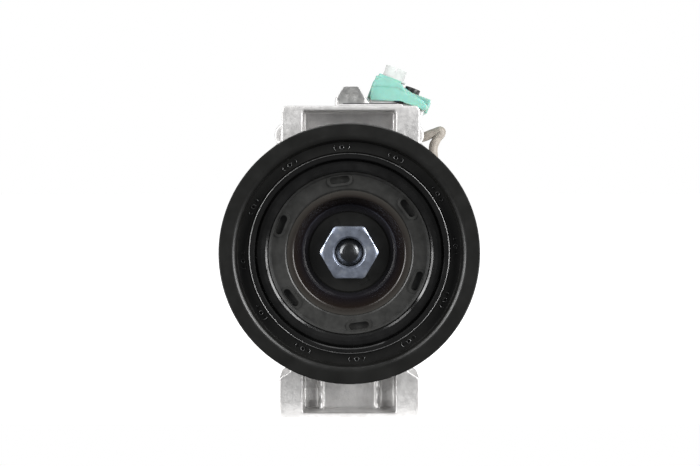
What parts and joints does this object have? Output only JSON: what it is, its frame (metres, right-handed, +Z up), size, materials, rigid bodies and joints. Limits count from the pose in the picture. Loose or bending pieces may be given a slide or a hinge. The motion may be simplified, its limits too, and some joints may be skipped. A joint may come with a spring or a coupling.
{
  "type": "automotive ac compressor",
  "caption": "Clutchless swash-plate refrigerant compressor with a damped ribbed-belt pulley, cast ears, lidded ports and control-valve lead.",
  "frame": {"origin": "on the shaft axis at the middle of the belt band", "axes": "+Y along the shaft away from the pulley, +Z up towards the ports, +X to the right seen from the pulley side"},
  "size_m": [0.1198, 0.224, 0.1672],
  "materials": {
    "black_paint": "satin black paint",
    "black_gloss": "gloss black paint",
    "rubber": "glossy moulded rubber",
    "nylon": "glass-filled nylon, satin",
    "dish_metal": "dark oxide with heat tints",
    "zinc": "bluish zinc plate",
    "steel": "ground steel",
    "dark_steel": "dark spring steel",
    "cast_alu": "die-cast, fine grain",
    "piston_alu": "machined",
    "cage": "moulded nylon cage",
    "gasket": "coated steel gasket",
    "copper": "copper washer",
    "bronze": "bearing bronze",
    "black_plastic": "moulded black plastic",
    "teal": "translucent turquoise plastic",
    "grey_pin": "light grey, slightly rough",
    "sleeve": "braided and taped lead sleeve",
    "label": "blank dark label"
  },
  "bodies": {
    "housing": {"bearing_inner_race": "steel", "pulley_snap_ring": "dark_steel", "front_housing": "cast_alu", "shaft_seal": "rubber", "seal_snap_ring": "dark_steel", "front_radial_bearing": "steel", "front_thrust_bearing": "steel", "case_seal": "rubber", "cylinder_block": "cast_alu", "rear_radial_bearing": "steel", "head_gasket": "gasket", "suction_reeds": "dark_steel", "valve_plate": "steel", "discharge_reeds": "dark_steel", "reed_retainer": "steel", "rear_gasket": "gasket", "rear_head": "cast_alu", "through_bolts": "zinc", "dowel_pins": "steel", "relief_valve": "steel", "relief_washer": "copper", "control_valve": "zinc", "valve_snap_ring": "dark_steel", "control_lead": "sleeve", "lead_connector": "black_plastic", "lead_clip": "black_plastic", "oil_plug": "zinc", "oil_plug_washer": "copper", "nameplate": "label"},
    "rotor": {"pulley": "black_paint", "damper_ring": "black_gloss", "damper_rubber": "rubber", "damper_cover": "nylon", "limiter_dish": "dish_metal", "drive_hub": "black_paint", "shaft_nut": "zinc", "drive_shaft": "steel", "lug_plate": "steel", "bearing_outer_race": "steel", "bearing_seals": "rubber", "destroke_spring": "dark_steel"},
    "ball_set": {"bearing_balls": "steel", "bearing_cage": "cage"},
    "sleeve": {"swash_sleeve": "bronze"},
    "shoe_set": {"shoes": "steel"},
    "plate": {"swash_plate": "steel"},
    "plunger": {"valve_plunger": "steel"},
    "shipping_cap": {"port_cap": "teal", "port_cap_screw": "grey_pin", "port_cap_plug": "black_plastic", "port_seal": "rubber"},
    "piston_body_1": {"piston_1": "piston_alu"},
    "piston_body_2": {"piston_2": "piston_alu"},
    "piston_body_3": {"piston_3": "piston_alu"},
    "piston_body_4": {"piston_4": "piston_alu"},
    "piston_body_5": {"piston_5": "piston_alu"},
    "piston_body_6": {"piston_6": "piston_alu"},
    "piston_body_7": {"piston_7": "piston_alu"}
  },
  "joints": [
    {"name": "shaft_spin", "type": "hinge", "parent": "housing", "child": "rotor", "pos_m": [0, 0, 0], "axis": [0, 1, 0], "continuous": true},
    {"name": "ball_set_spin", "type": "hinge", "parent": "housing", "child": "ball_set", "pos_m": [0, 0, 0], "axis": [0, 1, 0], "continuous": true},
    {"name": "sleeve_slide", "type": "slide", "parent": "housing", "child": "sleeve", "axis": [0, 1, 0], "range_m": [-0.01104, 0], "deforming": ["destroke_spring"]},
    {"name": "swash_tilt", "type": "hinge", "parent": "sleeve", "child": "shoe_set", "pos_m": [0, 0.093, 0], "axis": [-1, 0, 0], "range_deg": [0, 16], "stiffness_Nm_per_rad": 3},
    {"name": "plate_spin", "type": "hinge", "parent": "shoe_set", "child": "plate", "pos_m": [0, 0.093, 0], "axis": [0, 1, 0], "continuous": true},
    {"name": "valve_plunger_slide", "type": "slide", "parent": "housing", "child": "plunger", "axis": [1, 0, 0], "range_m": [0, 0.0012], "stiffness_N_per_m": 300},
    {"name": "port_cap_lift", "type": "slide", "parent": "housing", "child": "shipping_cap", "axis": [0.3518, 0, 0.9361], "range_m": [0, 0.06]},
    {"name": "piston_slide_1", "type": "slide", "parent": "housing", "child": "piston_body_1", "axis": [0, 1, 0], "range_m": [-0.000239, 0]},
    {"name": "piston_slide_2", "type": "slide", "parent": "housing", "child": "piston_body_2", "axis": [0, 1, 0], "range_m": [-0.0043, 0]},
    {"name": "piston_slide_3", "type": "slide", "parent": "housing", "child": "piston_body_3", "axis": [0, 1, 0], "range_m": [-0.01343, 0]},
    {"name": "piston_slide_4", "type": "slide", "parent": "housing", "child": "piston_body_4", "axis": [0, 1, 0], "range_m": [-0.02076, 0]},
    {"name": "piston_slide_5", "type": "slide", "parent": "housing", "child": "piston_body_5", "axis": [0, 1, 0], "range_m": [-0.02076, 0]},
    {"name": "piston_slide_6", "type": "slide", "parent": "housing", "child": "piston_body_6", "axis": [0, 1, 0], "range_m": [-0.01343, 0]},
    {"name": "piston_slide_7", "type": "slide", "parent": "housing", "child": "piston_body_7", "axis": [0, 1, 0], "range_m": [-0.0043, 0]}
  ],
  "couplings": [
    {"joint": "ball_set_spin", "follows": "shaft_spin", "ratio": 0.56667},
    {"joint": "plate_spin", "follows": "shaft_spin", "ratio": 1},
    {"joint": "sleeve_slide", "follows": "swash_tilt", "m_per_rad": -0.0395},
    {"joint": "piston_slide_1", "follows": "swash_tilt", "m_per_rad": -0.000851},
    {"joint": "piston_slide_2", "follows": "swash_tilt", "m_per_rad": -0.015403},
    {"joint": "piston_slide_3", "follows": "swash_tilt", "m_per_rad": -0.0481},
    {"joint": "piston_slide_4", "follows": "swash_tilt", "m_per_rad": -0.074322},
    {"joint": "piston_slide_5", "follows": "swash_tilt", "m_per_rad": -0.074322},
    {"joint": "piston_slide_6", "follows": "swash_tilt", "m_per_rad": -0.0481},
    {"joint": "piston_slide_7", "follows": "swash_tilt", "m_per_rad": -0.015403}
  ]
}
